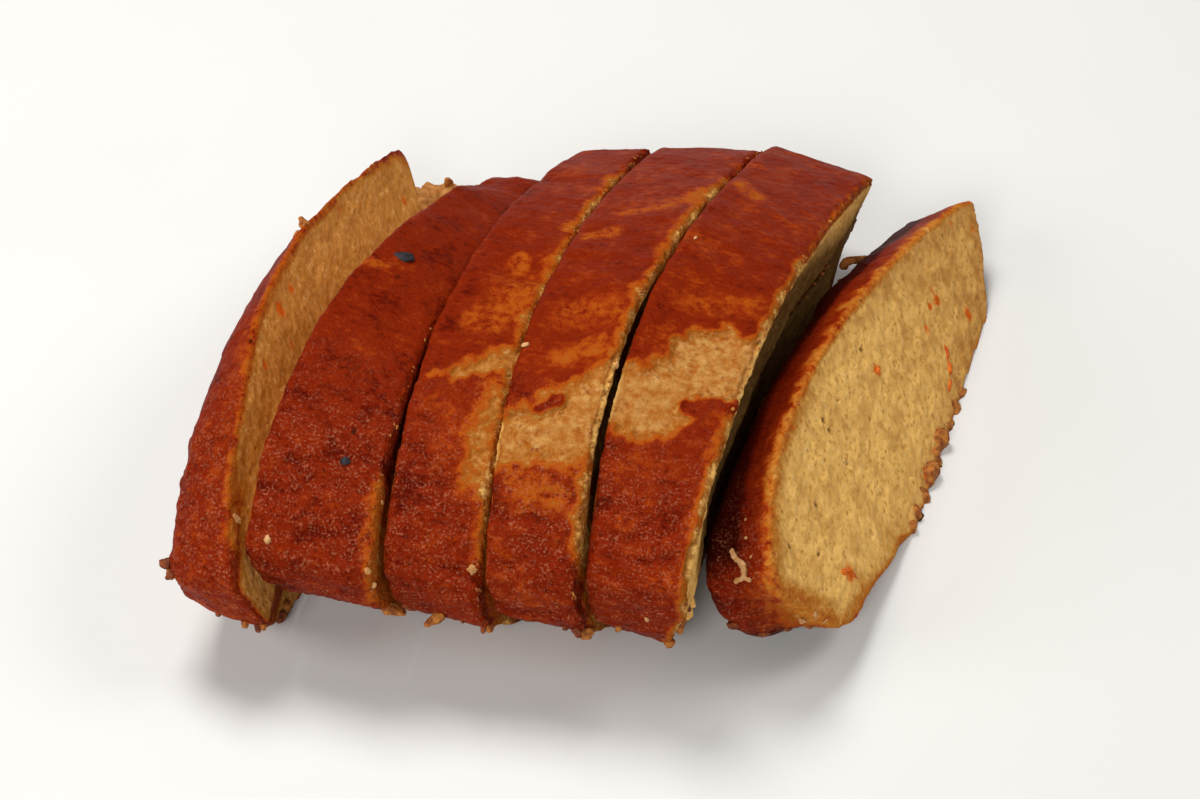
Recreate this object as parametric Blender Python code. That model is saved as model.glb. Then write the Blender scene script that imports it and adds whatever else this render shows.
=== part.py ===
"""Carrot loaf cut into six slices that stand in a leaning row. Metres, +Z up, row along X."""
import math

import bmesh
import bpy
from mathutils import Matrix, Vector, noise

# Cuts between slices: x where the cut meets the table at y = 0, then yaw and lean in degrees.
# A slice that has come away from the one before it has a cut of its own on its left.
HEEL_END = (-0.0489, -1.4, 15.0)
CUT_1 = (-0.0387, 7.0, 22.0)
CUT_2_LEFT = (-0.0353, -6.8, 7.1)
CUT_2 = (-0.0208, 0.0, 9.5)
CUT_3 = (-0.0076, 0.9, 8.9)
CUT_4 = (0.0070, -1.6, 8.2)
CUT_5 = (0.0212, -3.6, 3.6)
CUT_6_LEFT = (0.0295, -4.0, 26.0)
CUT_6 = (0.0428, -3.3, 33.0)
SLICE_GAP = 0.0006

# The loaf's cross-section: reaches, shoulders and feet to the near and far side of its middle.
SECTION = {
    "near_reach": 0.0505,
    "far_reach": 0.0500,
    "near_shoulder": 0.0205,
    "far_shoulder": 0.0155,
    "height": 0.0355,
    "peak": -0.0100,
    "near_foot": -0.0365,
    "far_foot": 0.0425,
    "undercut": 0.0130,
    "tuck": 0.0010,
}
NEAR_CURVE = 2.4
FAR_CURVE = 1.6
FOOT_CURVE = 1.6

# Each section lists what differs from the loaf's. A peel is a place where crust has come off:
# along the slice, across it from 0 to 1, half length, half width. A bite is a torn place on a
# cut face: side, along, up, half length, half height, depth.
SLICES = (
    {
        "name": "slice_1",
        "centre": 0.0049,
        "left": HEEL_END,
        "right": CUT_1,
        "left_section": {
            "near_reach": 0.0500,
            "far_reach": 0.0475,
            "height": 0.0295,
            "near_shoulder": 0.0160,
            "far_shoulder": 0.0140,
            "near_foot": -0.0420,
            "undercut": 0.0100,
        },
        "right_section": {
            "height": 0.0350,
            "peak": -0.0070,
            "far_shoulder": 0.0165,
            "near_foot": -0.0410,
            "undercut": 0.0090,
        },
        "heel": True,
        "peels": (),
        "bites": (
            ("right", -0.046, 0.019, 0.022, 0.018, 0.0016),
            ("right", -0.042, 0.000, 0.016, 0.013, 0.0055),
        ),
    },
    {
        "name": "slice_2",
        "centre": 0.0082,
        "left": CUT_2_LEFT,
        "right": CUT_2,
        "left_section": {"height": 0.0372, "peak": -0.013, "far_reach": 0.036, "far_shoulder": 0.022},
        "right_section": {"height": 0.0338, "peak": -0.016, "far_reach": 0.039, "far_shoulder": 0.019},
        "heel": False,
        "peels": ((0.031, 0.12, 0.008, 0.35),),
        "bites": (("left", -0.050, 0.002, 0.010, 0.010, 0.0020),),
    },
    {
        "name": "slice_3",
        "centre": 0.0108,
        "left": CUT_2,
        "right": CUT_3,
        "left_section": {"height": 0.0350, "near_foot": -0.0385, "undercut": 0.0115},
        "right_section": {
            "near_shoulder": 0.0185,
            "far_reach": 0.0508,
            "far_shoulder": 0.0178,
            "near_foot": -0.0385,
            "undercut": 0.0115,
        },
        "heel": False,
        "peels": ((-0.002, 0.75, 0.005, 0.5),),
        "bites": (),
    },
    {
        "name": "slice_4",
        "centre": 0.0123,
        "left": CUT_3,
        "right": CUT_4,
        "left_section": {"height": 0.0372, "peak": -0.013, "far_reach": 0.0530},
        "right_section": {"height": 0.0392, "peak": -0.014, "far_reach": 0.0535, "far_shoulder": 0.0175},
        "heel": False,
        "peels": ((-0.019, 0.55, 0.010, 0.50),),
        "bites": (),
    },
    {
        "name": "slice_5",
        "centre": 0.0143,
        "left": CUT_4,
        "right": CUT_5,
        "left_section": {"height": 0.0385, "peak": -0.012, "far_reach": 0.0545, "far_shoulder": 0.0165},
        "right_section": {
            "near_shoulder": 0.0235,
            "near_foot": -0.0375,
            "undercut": 0.0110,
            "tuck": 0.0015,
            "far_reach": 0.0520,
            "far_foot": 0.0360,
        },
        "heel": False,
        "peels": ((-0.013, 0.45, 0.012, 0.55),),
        "bites": (("right", -0.010, 0.0, 0.090, 0.020, 0.0052),),
    },
    {
        "name": "slice_6",
        "centre": 0.0193,
        "left": CUT_6_LEFT,
        "right": CUT_6,
        "left_section": {
            "height": 0.0262,
            "peak": -0.018,
            "near_shoulder": 0.0175,
            "far_shoulder": 0.0085,
            "near_reach": 0.0475,
            "far_reach": 0.0450,
            "near_foot": -0.0380,
            "undercut": 0.0100,
        },
        "right_section": {
            "height": 0.0330,
            "peak": -0.022,
            "near_shoulder": 0.0235,
            "far_shoulder": 0.0130,
            "near_reach": 0.0495,
            "far_reach": 0.0515,
            "near_foot": -0.0140,
            "far_foot": 0.0355,
            "undercut": 0.0065,
            "tuck": 0.0080,
        },
        "heel": False,
        "peels": (),
        "bites": (),
    },
)

# Points along each stretch of an outline, places of the rings across a slice, rings on a cut face
UNDERCUT_STEPS = 6
WALL_STEPS = 6
DOME_STEPS = 34
FAR_STEPS = 8
BASE_STEPS = 14
BAND_PLACES = (0.0, 0.05, 0.2, 0.4, 0.6, 0.8, 0.95, 1.0)
FACE_RINGS = (0.8, 0.55, 0.28, 0.0)

# Relief: the crust's waves, crags along the torn foot, the crumb's waves and the peeled places
CRUST_WAVE = 0.0005
CRUST_WAVE_SIZE = 0.009
CRAG_WAVE = 0.0010
CRAG_SIZE = 0.004
CRAG_OFFSET = Vector((5.0, 0.0, 0.0))
CRAG_START = 0.5
CRAG_FADE = 0.7
CRUMB_WAVE = 0.00025
CRUMB_WAVE_SIZE = 0.004
PEEL_DEPTH = 0.0008
PEEL_EDGE = 1.5
PEEL_LOWEST = 0.02

# Edges: the cut's rim is broken a little, and the heel's end is rounded and bulges.
RIM_ROUND = 0.0005
RIM_SHARE = 0.05
HEEL_ROUND = 0.0036
HEEL_SHARE = 0.6
HEEL_CURVE = 2.2
HEEL_BULGE = 0.0015

CRUST_SLOT = 0
CRUMB_SLOT = 1
CRUST_COLOUR = (0.30, 0.055, 0.010, 1.0)
CRUST_ROUGHNESS = 0.45
CRUMB_COLOUR = (0.58, 0.33, 0.11, 1.0)
CRUMB_ROUGHNESS = 0.85


def clear_scene():
    for found in list(bpy.data.objects):
        bpy.data.objects.remove(found, do_unlink=True)


def material(name, colour, roughness):
    made = bpy.data.materials.new(name)
    made.use_nodes = True
    shader = made.node_tree.nodes["Principled BSDF"]
    shader.inputs["Base Color"].default_value = colour
    shader.inputs["Roughness"].default_value = roughness
    return made


def cut_x(cut, y, z):
    """Where a cut plane is, left to right, at this depth and height."""
    x, yaw, lean = cut
    turn, tilt = math.radians(yaw), math.radians(lean)
    return x - y * math.tan(turn) - z * math.tan(tilt) / math.cos(turn)


def on_cut(cut, centre, s, u):
    """World place of the point (s, u) of a slice's outline, on a cut plane."""
    x, yaw, lean = cut
    turn, tilt = math.radians(yaw), math.radians(lean)
    along = centre / math.cos(turn) + s
    back = u * math.sin(tilt)
    return Vector((
        x - along * math.sin(turn) - back * math.cos(turn),
        along * math.cos(turn) - back * math.sin(turn),
        u * math.cos(tilt),
    ))


def steps(count):
    return [i / count for i in range(count)]


def outline(changes):
    """A slice's closed outline as (s, u), from the near foot up, over the dome and back."""
    section = {**SECTION, **changes}
    near, far = -section["near_reach"], section["far_reach"]
    near_foot, far_foot = section["near_foot"], section["far_foot"]
    low, high, tip = section["near_shoulder"], section["height"], section["far_shoulder"]
    peak, tuck, undercut = section["peak"], section["tuck"], section["undercut"]
    points = []
    for t in steps(UNDERCUT_STEPS):
        points.append((near_foot + t * (near + tuck - near_foot), undercut * t))
    for t in steps(WALL_STEPS):
        points.append((near + tuck * (1 - t), undercut + t * (low - undercut)))
    for t in steps(DOME_STEPS):
        s = near + t * (far - near)
        if s < peak:
            drop = (high - low) * ((peak - s) / (peak - near)) ** NEAR_CURVE
        else:
            drop = (high - tip) * ((s - peak) / (far - peak)) ** FAR_CURVE
        points.append((s, high - drop))
    for t in steps(FAR_STEPS):
        points.append((far + (far_foot - far) * t ** FOOT_CURVE, tip * (1 - t)))
    for t in steps(BASE_STEPS):
        points.append((far_foot + t * (near_foot - far_foot), 0.0))
    return soften(points)


def soften(points):
    """Rounds the outline's corners a little, and leaves the base on the table."""
    made = []
    for before, (s, u), after in zip(points[-1:] + points[:-1], points, points[1:] + points[:1]):
        height = (before[1] + 2 * u + after[1]) / 4 if u else 0.0
        made.append(((before[0] + 2 * s + after[0]) / 4, height))
    return made


def outward(points):
    """Unit normals of the outline, pointing out of the slice."""
    normals = []
    for before, after in zip(points[-1:] + points[:-1], points[1:] + points[:1]):
        run = Vector(after) - Vector(before)
        normals.append(Vector((-run.y, run.x)).normalized())
    return normals


def peel(spec, s, u, across):
    """How deep the crust has come off at this place on the dome."""
    deepest = 0.0
    if u > PEEL_LOWEST:
        for place, side, length, width in spec["peels"]:
            away = math.hypot((s - place) / length, (across - side) / width)
            deepest = max(deepest, min(1.0, (1.0 - away) * PEEL_EDGE))
    return PEEL_DEPTH * deepest


def bite(spec, side, s, u):
    """How far a cut face is torn back at this place."""
    deepest = 0.0
    for where, place, height, along, up, most in spec["bites"]:
        away = math.hypot((s - place) / along, (u - height) / up)
        if where == side:
            deepest = max(deepest, most * (1 - away * away))
    return deepest


def relief(point, u):
    """Height of the crust's waves and of the crags along the torn foot."""
    low = SECTION["undercut"]
    torn = min(1.0, max(0.0, 1.0 - (u - low * CRAG_START) / (low * CRAG_FADE)))
    wave = CRUST_WAVE * noise.noise(point / CRUST_WAVE_SIZE)
    return wave + torn * CRAG_WAVE * noise.noise(point / CRAG_SIZE + CRAG_OFFSET)


def inset_at(across, heel):
    """How far the outline is drawn in at this share of the slice's thickness."""
    if heel and across < HEEL_SHARE:
        rounding = 1.0 - across / HEEL_SHARE
        return HEEL_ROUND * (1.0 - math.sqrt(1.0 - rounding ** HEEL_CURVE))
    edge = min(across, 1.0 - across)
    return RIM_ROUND * (1.0 - min(1.0, edge / RIM_SHARE))


def kept_clear(point, previous):
    """The point, moved right where it would enter the slice before."""
    if previous:
        dent = bite(previous, "right", point.y - previous["centre"], point.z)
        least = cut_x(previous["right"], point.y, point.z) + SLICE_GAP - dent
        point.x = max(point.x, least)
    return point


def rim_point(spec, side, across, point, out):
    """A crust point as it would lie on one of the slice's two cut planes."""
    cut, centre = spec[side], spec["centre"]
    s, u = point
    if u == 0.0:
        place = on_cut(cut, centre, s, u)
    else:
        grow = relief(on_cut(cut, centre, s, u), u)
        grow -= inset_at(across, spec["heel"]) + peel(spec, s, u, across)
        place = on_cut(cut, centre, s + out.x * grow, max(0.0, u + out.y * grow))
    place.x += bite(spec, side, s, u) * (1 if side == "left" else -1)
    return place


def crust_rings(mesh, spec, left, right, previous):
    """Rings of points round the crust, from the left cut to the right one."""
    left_out, right_out = outward(left), outward(right)
    rings = []
    for across in BAND_PLACES:
        ring = []
        for i in range(len(left)):
            start = rim_point(spec, "left", across, left[i], left_out[i])
            end = rim_point(spec, "right", across, right[i], right_out[i])
            ring.append(mesh.verts.new(kept_clear(start, previous).lerp(end, across)))
        rings.append(ring)
    return rings


def bridge(mesh, before, after, finish):
    """Faces between two rings, or from a ring to a single middle point."""
    for i in range(len(before)):
        j = (i + 1) % len(before)
        inner = (after[j], after[i]) if len(after) > 1 else (after[0],)
        mesh.faces.new((before[i], before[j], *inner)).material_index = finish


def cap(mesh, rim, spec, side, points, previous):
    """Closes a cut face with rings that shrink to its middle, waved like crumb."""
    heel_end = spec["heel"] and side == "left"
    middle_s = sum(s for s, u in points) / len(points)
    middle_u = sum(u for s, u in points) / len(points)
    before = rim
    for share in FACE_RINGS:
        after = []
        for i in range(len(points) if share else 1):
            s = middle_s + (points[i][0] - middle_s) * share
            u = middle_u + (points[i][1] - middle_u) * share
            place = on_cut(spec[side], spec["centre"], s, u)
            place.x += CRUMB_WAVE * noise.noise(place / CRUMB_WAVE_SIZE)
            place.x += bite(spec, side, s, u) * (1 if side == "left" else -1)
            if heel_end:
                place.x -= HEEL_BULGE * (1 - share ** 2)
            after.append(mesh.verts.new(kept_clear(place, previous)))
        bridge(mesh, before, after, CRUST_SLOT if heel_end else CRUMB_SLOT)
        before = after


def build_slice(spec, previous, finishes):
    left = outline(spec["left_section"])
    right = outline(spec["right_section"])
    mesh = bmesh.new()
    rings = crust_rings(mesh, spec, left, right, previous)
    for before, after in zip(rings, rings[1:]):
        bridge(mesh, before, after, CRUST_SLOT)
    cap(mesh, rings[0], spec, "left", left, previous)
    cap(mesh, rings[-1], spec, "right", right, None)
    bmesh.ops.recalc_face_normals(mesh, faces=mesh.faces)
    data = bpy.data.meshes.new(spec["name"])
    mesh.to_mesh(data)
    mesh.free()
    for finish in finishes:
        data.materials.append(finish)
    data.shade_smooth()
    made = bpy.data.objects.new(spec["name"], data)
    bpy.context.scene.collection.objects.link(made)
    return made


def centre_row(row):
    """Moves the slices together so that the origin is under the middle of the row."""
    points = [corner.co for made in row for corner in made.data.vertices]
    lows = [min(point[axis] for point in points) for axis in range(3)]
    highs = [max(point[axis] for point in points) for axis in range(3)]
    shift = Vector((-(lows[0] + highs[0]) / 2, -(lows[1] + highs[1]) / 2, -lows[2]))
    for made in row:
        made.data.transform(Matrix.Translation(shift))
    return shift


def main():
    clear_scene()
    finishes = (
        material("crust", CRUST_COLOUR, CRUST_ROUGHNESS),
        material("crumb", CRUMB_COLOUR, CRUMB_ROUGHNESS),
    )
    row = []
    previous = None
    for spec in SLICES:
        row.append(build_slice(spec, previous, finishes))
        previous = spec
    shift = centre_row(row)
    print("row moved by", [round(part * 1000, 2) for part in shift], "mm to centre it")


main()
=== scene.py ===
import random
from math import cos, radians, sin

import bpy
import numpy as np
from mathutils import Euler, Matrix, Vector, noise
from mathutils.bvhtree import BVHTree


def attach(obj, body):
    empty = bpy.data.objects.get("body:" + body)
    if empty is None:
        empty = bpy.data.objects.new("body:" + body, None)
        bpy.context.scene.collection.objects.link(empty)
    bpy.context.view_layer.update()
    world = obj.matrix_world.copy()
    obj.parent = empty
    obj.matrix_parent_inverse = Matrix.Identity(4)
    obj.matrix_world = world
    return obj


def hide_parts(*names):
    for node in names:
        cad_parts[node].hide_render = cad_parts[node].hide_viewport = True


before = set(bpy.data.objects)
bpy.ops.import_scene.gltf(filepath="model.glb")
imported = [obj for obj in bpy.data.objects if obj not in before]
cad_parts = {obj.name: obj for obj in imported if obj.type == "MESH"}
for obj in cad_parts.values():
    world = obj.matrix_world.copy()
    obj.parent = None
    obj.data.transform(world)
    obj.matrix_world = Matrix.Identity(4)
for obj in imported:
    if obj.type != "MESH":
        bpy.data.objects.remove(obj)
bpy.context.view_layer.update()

mm = 0.001
random.seed(11)
print("frame loaded, slices:", sorted(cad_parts))


# small helpers
def pick(piece):
    bpy.ops.object.select_all(action="DESELECT")
    piece.select_set(True)
    bpy.context.view_layer.objects.active = piece


def applyModifier(piece, kind, **values):
    pick(piece)
    modifier = piece.modifiers.new(kind.title(), kind)
    for name, value in values.items():
        setattr(modifier, name, value)
    bpy.ops.object.modifier_apply(modifier=modifier.name)


def pointsOf(piece):
    values = np.empty(len(piece.data.vertices) * 3)
    piece.data.vertices.foreach_get("co", values)
    return values.reshape(-1, 3)


def ease(value, start, end):
    t = np.clip((value - start) / (end - start), 0, 1)
    return t * t * (3 - 2 * t)


def between(value, low, high, soft):
    return ease(value, low - soft, low + soft) * ease(value, high + soft, high - soft)


def fromLine(points, x1, y1, x2, y2):
    # distance in mm, seen from above, from a line between two places
    start = np.array((x1, y1))
    along = np.array((x2, y2)) - start
    flat = points[:, :2] / mm - start
    share = np.clip(flat @ along / max(along @ along, 1e-9), 0, 1)
    return np.linalg.norm(flat - share[:, None] * along, axis=1)


def insideOutline(points, outline):
    # depth in mm inside a closed outline seen from above, negative outside it
    nearest = np.full(len(points), 1e9)
    inside = np.zeros(len(points), bool)
    x, y = points[:, 0] / mm, points[:, 1] / mm
    for (x1, y1), (x2, y2) in zip(outline, outline[1:] + outline[:1]):
        nearest = np.minimum(nearest, fromLine(points, x1, y1, x2, y2))
        if y1 != y2:
            crossing = x1 + (y - y1) * (x2 - x1) / (y2 - y1)
            inside ^= ((y1 > y) != (y2 > y)) & (x < crossing)
    return np.where(inside, nearest, -nearest)


def cloudOn(points, size, seed):
    shift = Vector((seed * 7.3, seed * 3.1, seed * 5.7))
    return np.array([noise.noise(Vector(p) / (size * mm) + shift) for p in points])


def restOnFloor(piece):
    # what would stick down through the floor is pressed flat on it
    points = pointsOf(piece)
    points[:, 2] = np.maximum(points[:, 2], 0)
    piece.data.vertices.foreach_set("co", points.ravel())
    piece.data.update()


def addField(piece, name, values):
    field = piece.data.attributes.new(name, "FLOAT", "POINT")
    field.data.foreach_set("value", values.astype(np.float32))


def addGroup(piece, name, values):
    # weights go in by steps of a fortieth, which is quick and fine enough
    group = piece.vertex_groups.new(name=name)
    steps = np.round(np.clip(values, 0, 1) * 40).astype(int)
    for step in range(1, 41):
        group.add(np.nonzero(steps == step)[0].tolist(), step / 40, "REPLACE")


def bumps(name, kind, size, contrast):
    texture = bpy.data.textures.new(name, kind)
    texture.noise_scale = size * mm
    texture.contrast = contrast
    return texture


def shift(piece, group, out):
    # a group's points move out by so many mm, or in where that is negative
    applyModifier(piece, "DISPLACE", vertex_group=group, strength=out * mm, mid_level=0)


def roughen(piece, group, kind, high, across, contrast=1.0):
    applyModifier(piece, "DISPLACE", vertex_group=group, texture=bumps(group, kind, across, contrast),
                  strength=high * mm, mid_level=0.5)


# material helpers
def newMaterial(name, roughness):
    material = bpy.data.materials.new(name)
    material.use_nodes = True
    shader = material.node_tree.nodes["Principled BSDF"]
    shader.inputs["Roughness"].default_value = roughness
    return material, material.node_tree, shader


def node(tree, kind, place, **values):
    made = tree.nodes.new(kind)
    made.location = place
    for name, value in values.items():
        setattr(made, name, value)
    return made


def stretched(tree, coords, place, scale):
    made = node(tree, "ShaderNodeMapping", place)
    made.inputs["Scale"].default_value = scale
    tree.links.new(coords, made.inputs["Vector"])
    return made.outputs["Vector"]


def noiseNode(tree, coords, place, size, detail=3.0, roughness=0.55):
    made = node(tree, "ShaderNodeTexNoise", place)
    made.inputs["Scale"].default_value = 1 / (size * mm)
    made.inputs["Detail"].default_value = detail
    made.inputs["Roughness"].default_value = roughness
    tree.links.new(coords, made.inputs["Vector"])
    return made.outputs["Fac"]


def cellNode(tree, coords, place, size):
    made = node(tree, "ShaderNodeTexVoronoi", place)
    made.inputs["Scale"].default_value = 1 / (size * mm)
    tree.links.new(coords, made.inputs["Vector"])
    return made.outputs["Distance"]


def mathNode(tree, kind, place, first, second, third=None):
    made = node(tree, "ShaderNodeMath", place, operation=kind)
    for socket, value in zip(made.inputs, (first, second, third)):
        if isinstance(value, (int, float)):
            socket.default_value = value
        elif value is not None:
            tree.links.new(value, socket)
    return made.outputs["Value"]


def rangeNode(tree, place, value, low, high, toLow=0.0, toHigh=1.0):
    made = node(tree, "ShaderNodeMapRange", place, interpolation_type="SMOOTHSTEP")
    tree.links.new(value, made.inputs["Value"])
    for name, number in (("From Min", low), ("From Max", high), ("To Min", toLow), ("To Max", toHigh)):
        made.inputs[name].default_value = number
    return made.outputs["Result"]


def rampNode(tree, place, value, stops):
    made = node(tree, "ShaderNodeValToRGB", place)
    ramp = made.color_ramp
    while len(ramp.elements) < len(stops):
        ramp.elements.new(0.5)
    for element, (position, colour) in zip(ramp.elements, stops):
        element.position = position
        element.color = (*colour, 1)
    tree.links.new(value, made.inputs["Fac"])
    return made.outputs["Color"]


def mixNode(tree, place, share, first, second):
    made = node(tree, "ShaderNodeMix", place, data_type="RGBA")
    for socket, value in zip([s for s in made.inputs if s.enabled], (share, first, second)):
        if isinstance(value, tuple):
            socket.default_value = (*value, 1)
        else:
            tree.links.new(value, socket)
    return [s for s in made.outputs if s.enabled][0]


# crust from burnt to golden, whose burnt end also paints shade, the rims of the cuts, crumb, a painted
# glint, and the painted shade of holes, pores and gaps
breadColours = {
    "burntAndShade": (0.028, 0.0008, 0.0002),
    "crustDark": (0.085, 0.0032, 0.0004),
    "crust": (0.185, 0.0125, 0.0012),
    "crustLight": (0.330, 0.042, 0.0030),
    "glint": (0.44, 0.16, 0.082),
    "amber": (0.36, 0.068, 0.0042),
    "golden": (0.32, 0.098, 0.0115),
    "peelCrumb": (0.45, 0.222, 0.058),
    "rimRed": (0.42, 0.034, 0.0022),
    "rimAmber": (0.42, 0.102, 0.0090),
    "rimGolden": (0.60, 0.245, 0.0360),
    "crumb": (0.86, 0.50, 0.135),
    "heelCrumb": (0.60, 0.265, 0.056),
    "crumbDeep": (0.36, 0.125, 0.014),
    "shade": (0.050, 0.0115, 0.0018),
    "crumbPale": (0.90, 0.64, 0.31),
    "pit": (0.035, 0.010, 0.004),
    "carrot": (0.62, 0.105, 0.006),
}


# what each point of a slice carries, for the material to read
breadFields = ("bare", "peeled", "pore", "carrot", "bakeAndShade", "paintedSpecks", "pit", "fold", "shade", "cut", "toast")


def breadMaterial(name, crumbColour):
    c = breadColours
    material, tree, shader = newMaterial(name, 0.6)
    coords = node(tree, "ShaderNodeTexCoord", (-2600, 0)).outputs["Object"]
    across = stretched(tree, coords, (-2200, -150), (0.6, 1, 1))
    fields = {}
    for row, field in enumerate(breadFields):
        place = (-2600, 300 + 150 * row)
        fields[field] = node(tree, "ShaderNodeAttribute", place, attribute_name=field).outputs["Fac"]
    bare, peeled = fields["bare"], fields["peeled"]

    # places pushed about a little, so that no cell in the pattern is regular
    push = node(tree, "ShaderNodeTexNoise", (-2500, -300))
    push.inputs["Scale"].default_value = 1 / mm
    tree.links.new(coords, push.inputs["Vector"])
    pushed = node(tree, "ShaderNodeVectorMath", (-2300, -300), operation="MULTIPLY_ADD")
    pushed.inputs[1].default_value = (0.9 * mm, 0.9 * mm, 0.9 * mm)
    tree.links.new(push.outputs["Color"], pushed.inputs[0])
    tree.links.new(coords, pushed.inputs[2])
    pushed = pushed.outputs["Vector"]

    # how far the skin gives way to crumb, with a ragged edge
    broad = noiseNode(tree, coords, (-1900, 400), 2.0, 7, 0.70)
    edge = mathNode(tree, "SUBTRACT", (-1750, 400), broad, 0.90)
    narrow = noiseNode(tree, coords, (-1900, 250), 0.8, 5, 0.65)
    edge = mathNode(tree, "MULTIPLY_ADD", (-1650, 300), narrow, 0.8, edge)
    ragged = mathNode(tree, "MULTIPLY", (-1700, 650), rangeNode(tree, (-1900, 650), bare, 0.0, 0.3),
                      rangeNode(tree, (-1900, 800), bare, 1.15, 0.6, 0.35, 1.0))
    open = mathNode(tree, "MULTIPLY_ADD", (-1300, 400), edge, ragged, bare)

    # crust: broad blotches, finer mottling, darker where it baked longer, with painted shade in its folds
    # and where the last slice leans into the gap
    blotch = noiseNode(tree, coords, (-1900, 100), 5.5, 5, 0.62)
    blotch = mathNode(tree, "MULTIPLY_ADD", (-1800, 150), blotch, 0.65, -0.075)
    mottle = noiseNode(tree, across, (-1900, -50), 0.80, 5, 0.68)
    tone = mathNode(tree, "MULTIPLY_ADD", (-1700, 50), mottle, 0.70, blotch)
    tone = mathNode(tree, "MULTIPLY_ADD", (-1600, 50), fields["bakeAndShade"], -0.13, tone)
    # painted shade in the folds of the near ends
    tone = mathNode(tree, "MULTIPLY_ADD", (-1600, -50), fields["fold"], -0.09, tone)
    crust = rampNode(tree, (-1500, 100), tone, (
        (0.38, c["crustDark"]), (0.54, c["crust"]), (0.62, c["crust"]), (0.80, c["crustLight"])))
    # the burnt colour also paints the shade on the last slice's side that leans into the gap
    burntAndShade = rangeNode(tree, (-1500, 0), fields["bakeAndShade"], 0.5, 1.2, 0.0, 0.92)
    crust = mixNode(tree, (-1350, 100), burntAndShade, crust, c["burntAndShade"])

    # from crust over amber and gold to the crumb
    patches = noiseNode(tree, coords, (-1750, 800), 1.5, 6, 0.68)
    worn = mathNode(tree, "MULTIPLY_ADD", (-1600, 800), bare, 0.5, patches)
    worn = rangeNode(tree, (-1500, 850), worn, 0.83, 1.12)
    paler = mixNode(tree, (-1450, 600), worn, c["golden"], c["peelCrumb"])
    inner = mixNode(tree, (-1300, 600), peeled, crumbColour, paler)
    through = rampNode(tree, (-1100, 400), open, (
        (0.0, c["crust"]), (0.15, c["crustLight"]), (0.34, c["amber"]), (0.62, c["golden"])))
    rimmed = rampNode(tree, (-1100, 200), open, (
        (0.0, c["crustLight"]), (0.10, c["rimRed"]), (0.30, c["rimAmber"]), (0.68, c["rimGolden"])))
    through = mixNode(tree, (-1000, 300), fields["cut"], through, rimmed)
    through = mixNode(tree, (-950, 450), rangeNode(tree, (-1100, 600), open, 0.50, 0.95), through, inner)
    skin = mixNode(tree, (-800, 300), rangeNode(tree, (-1000, 700), open, 0.02, 0.34), crust, through)

    # painted glints, a painted highlight, on fine ridges of the crust, and painted shade in small open
    # bubbles between them
    ridge = noiseNode(tree, coords, (-1500, -200), 0.36, 2, 0.5)
    net = rangeNode(tree, (-1300, -200), ridge, 0.48, 0.72)
    some = noiseNode(tree, coords, (-1500, -450), 1.5, 5, 0.65)
    some = rangeNode(tree, (-1300, -350), some, 0.36, 0.60)
    bubbles = rangeNode(tree, (-1300, -500), cellNode(tree, pushed, (-1500, -350), 1.0), 0.26, 0.12)
    bubbles = mathNode(tree, "MULTIPLY", (-1150, -500), bubbles, fields["paintedSpecks"])
    paintedSpecks = mathNode(tree, "MULTIPLY", (-1200, -250), net, some)
    paintedSpecks = mathNode(tree, "MULTIPLY", (-1100, -250), paintedSpecks, fields["paintedSpecks"])
    onSkin = rangeNode(tree, (-1100, -400), open, 0.5, 0.2, 0.0, 0.54)
    paintedSpecks = mathNode(tree, "MULTIPLY", (-900, -250), paintedSpecks, onSkin)
    skin = mixNode(tree, (-600, 200), paintedSpecks, skin, c["glint"])
    onSkin = rangeNode(tree, (-1100, -550), open, 0.3, 0.1, 0.0, 0.5)
    dark = mathNode(tree, "MULTIPLY", (-900, -450), bubbles, onSkin)
    skin = mixNode(tree, (-500, 200), dark, skin, c["crustDark"])

    # crumb: painted shade in its pores and the hollows of its grain, with pale flakes, uneven in tone
    fine = noiseNode(tree, coords, (-1500, -600), 0.95, 6, 0.66)
    drift = noiseNode(tree, coords, (-1500, -750), 3.6, 4)
    inCrumb = rangeNode(tree, (-1000, -700), open, 0.42, 0.85)
    cells = rangeNode(tree, (-1300, -700), cellNode(tree, pushed, (-1500, -900), 1.4), 0.34, 0.08)
    here = rangeNode(tree, (-1300, -800), drift, 0.42, 0.56)
    cells = mathNode(tree, "MULTIPLY", (-1150, -700), cells, here)
    deep = rangeNode(tree, (-1300, -600), fine, 0.48, 0.34, 0.0, 0.75)
    deep = mathNode(tree, "MAXIMUM", (-1100, -600), deep, fields["pore"])
    deep = mathNode(tree, "MAXIMUM", (-1000, -600), deep, cells)
    howDark = mathNode(tree, "MULTIPLY", (-900, -700), inCrumb, 0.62)
    deep = mathNode(tree, "MULTIPLY", (-900, -600), deep, howDark)
    # the colour of the painted shade in the pores and hollows
    hole = mixNode(tree, (-600, -500), peeled, c["crumbDeep"], c["crust"])
    skin = mixNode(tree, (-400, 100), deep, skin, hole)
    pale = rangeNode(tree, (-1300, -850), fine, 0.50, 0.72)
    pale = mathNode(tree, "MULTIPLY", (-900, -850), pale, inCrumb)
    howPale = mathNode(tree, "MULTIPLY_ADD", (-800, -950), peeled, -0.24, 0.42)
    pale = mathNode(tree, "MULTIPLY", (-700, -850), pale, howPale)
    skin = mixNode(tree, (-330, 80), pale, skin, c["crumbPale"])
    toast = mathNode(tree, "MULTIPLY", (-700, -750), rangeNode(tree, (-900, -800), drift, 0.56, 0.36), 0.32)
    toast = mathNode(tree, "ADD", (-600, -850), toast, fields["toast"])
    toast = mathNode(tree, "MULTIPLY", (-500, -750), toast, inCrumb)
    skin = mixNode(tree, (-250, 50), toast, skin, c["golden"])

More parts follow.
